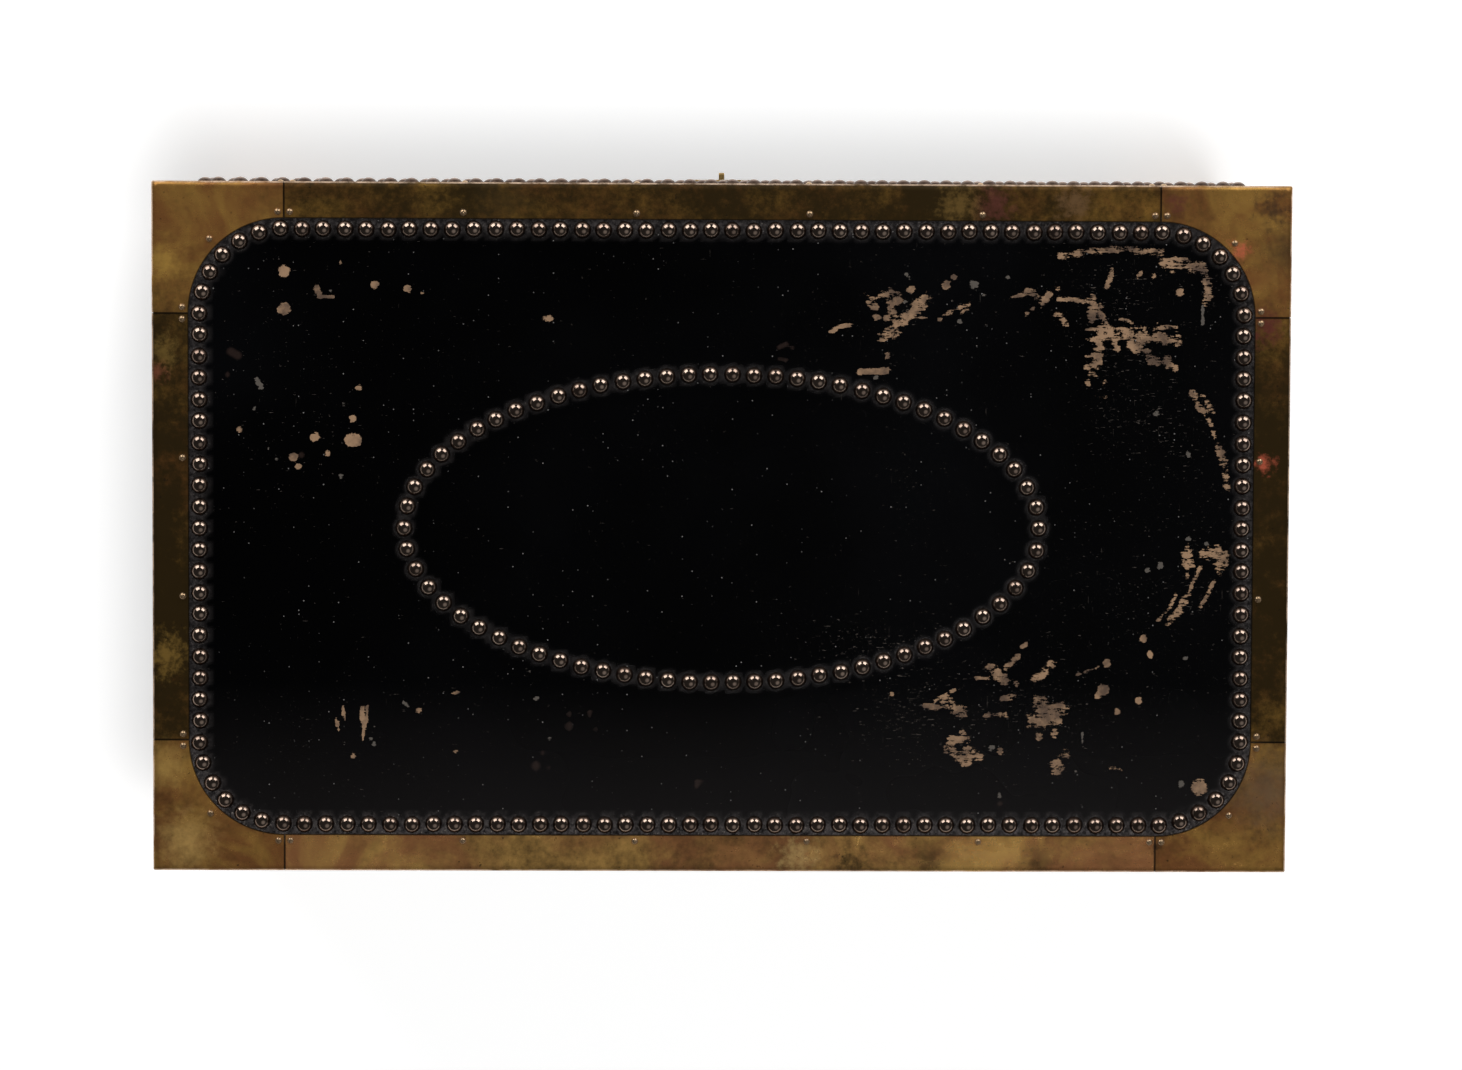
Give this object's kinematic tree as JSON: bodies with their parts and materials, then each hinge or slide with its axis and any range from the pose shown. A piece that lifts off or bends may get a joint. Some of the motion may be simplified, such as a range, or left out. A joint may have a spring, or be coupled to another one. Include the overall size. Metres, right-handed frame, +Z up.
{
  "type": "campaign trunk",
  "caption": "Brass-bound campaign trunk covered in black painted hide with rows of domed nails, a hinged lid, a front hasp for a padlock and drop handles on the ends.",
  "frame": {"origin": "middle of the flat underside that the trunk stands on", "axes": "+Z up, front with the hasp towards -Y, hinges on +Y, length along X"},
  "size_m": [0.794, 0.4852, 0.349],
  "materials": {
    "camphor_wood": "bare planed camphor wood, darkened with age",
    "painted_hide": "black painted hide, worn through to tan in places",
    "sheet_brass": "thin folded sheet, dark brown patina rubbed brighter at the corners",
    "nail_brass": "domed heads with a dark bronze patina",
    "pin_brass": "small round heads, dark with worn tops",
    "fitting_brass": "cast and rolled fittings, rubbed where hands reach",
    "screw_brass": "slotted heads, dull"
  },
  "bodies": {
    "case": {"bottom_board": "camphor_wood", "case_back_board": "camphor_wood", "case_bottom_cap_back_left": "sheet_brass", "case_bottom_cap_back_right": "sheet_brass", "case_bottom_cap_front_left": "sheet_brass", "case_bottom_cap_front_right": "sheet_brass", "case_bottom_edge_back": "sheet_brass", "case_bottom_edge_front": "sheet_brass", "case_bottom_edge_left": "sheet_brass", "case_bottom_edge_right": "sheet_brass", "case_corner_angles": "sheet_brass", "case_countersunk_screws": "screw_brass", "case_front_board": "camphor_wood", "case_left_board": "camphor_wood", "case_nails": "nail_brass", "case_pins": "pin_brass", "case_right_board": "camphor_wood", "case_rim_strips": "sheet_brass", "case_side_hide": "painted_hide", "case_top_corner_back_left": "sheet_brass", "case_top_corner_back_right": "sheet_brass", "case_top_corner_front_left": "sheet_brass", "case_top_corner_front_right": "sheet_brass", "handle_screws": "screw_brass", "hinge_pins": "fitting_brass", "left_handle_plate": "fitting_brass", "left_hinge_case_leaf": "fitting_brass", "right_handle_plate": "fitting_brass", "right_hinge_case_leaf": "fitting_brass", "staple": "fitting_brass", "staple_plate": "fitting_brass"},
    "lid": {"hasp_pin": "fitting_brass", "hasp_plate": "fitting_brass", "left_hinge_lid_leaf": "fitting_brass", "lid_back_rail": "camphor_wood", "lid_border_nails": "nail_brass", "lid_corner_cap_back_left": "sheet_brass", "lid_corner_cap_back_right": "sheet_brass", "lid_corner_cap_front_left": "sheet_brass", "lid_corner_cap_front_right": "sheet_brass", "lid_countersunk_screws": "screw_brass", "lid_front_rail": "camphor_wood", "lid_left_rail": "camphor_wood", "lid_oval_nails": "nail_brass", "lid_pins": "pin_brass", "lid_right_rail": "camphor_wood", "lid_rim_strips": "sheet_brass", "lid_side_hide": "painted_hide", "lid_side_nails": "nail_brass", "lid_top_board": "camphor_wood", "lid_top_edge_back": "sheet_brass", "lid_top_edge_front": "sheet_brass", "lid_top_edge_left": "sheet_brass", "lid_top_edge_right": "sheet_brass", "lid_top_hide": "painted_hide", "right_hinge_lid_leaf": "fitting_brass"},
    "hasp": {"hasp": "fitting_brass"},
    "left_handle": {"left_handle_bail": "fitting_brass"},
    "right_handle": {"right_handle_bail": "fitting_brass"}
  },
  "joints": [
    {"name": "lid_hinge", "type": "hinge", "parent": "case", "child": "lid", "pos_m": [0, 0.2348, 0.2612], "axis": [-1, 0, 0], "range_deg": [0, 100]},
    {"name": "hasp_hinge", "type": "hinge", "parent": "lid", "child": "hasp", "pos_m": [0, -0.2334, 0.2662], "axis": [-1, 0, 0], "range_deg": [0, 170]},
    {"name": "right_handle_hinge", "type": "hinge", "parent": "case", "child": "right_handle", "pos_m": [0.3908, 0, 0.15], "axis": [0, -1, 0], "range_deg": [0, 90]},
    {"name": "left_handle_hinge", "type": "hinge", "parent": "case", "child": "left_handle", "pos_m": [-0.3908, 0, 0.15], "axis": [0, 1, 0], "range_deg": [0, 90]}
  ]
}
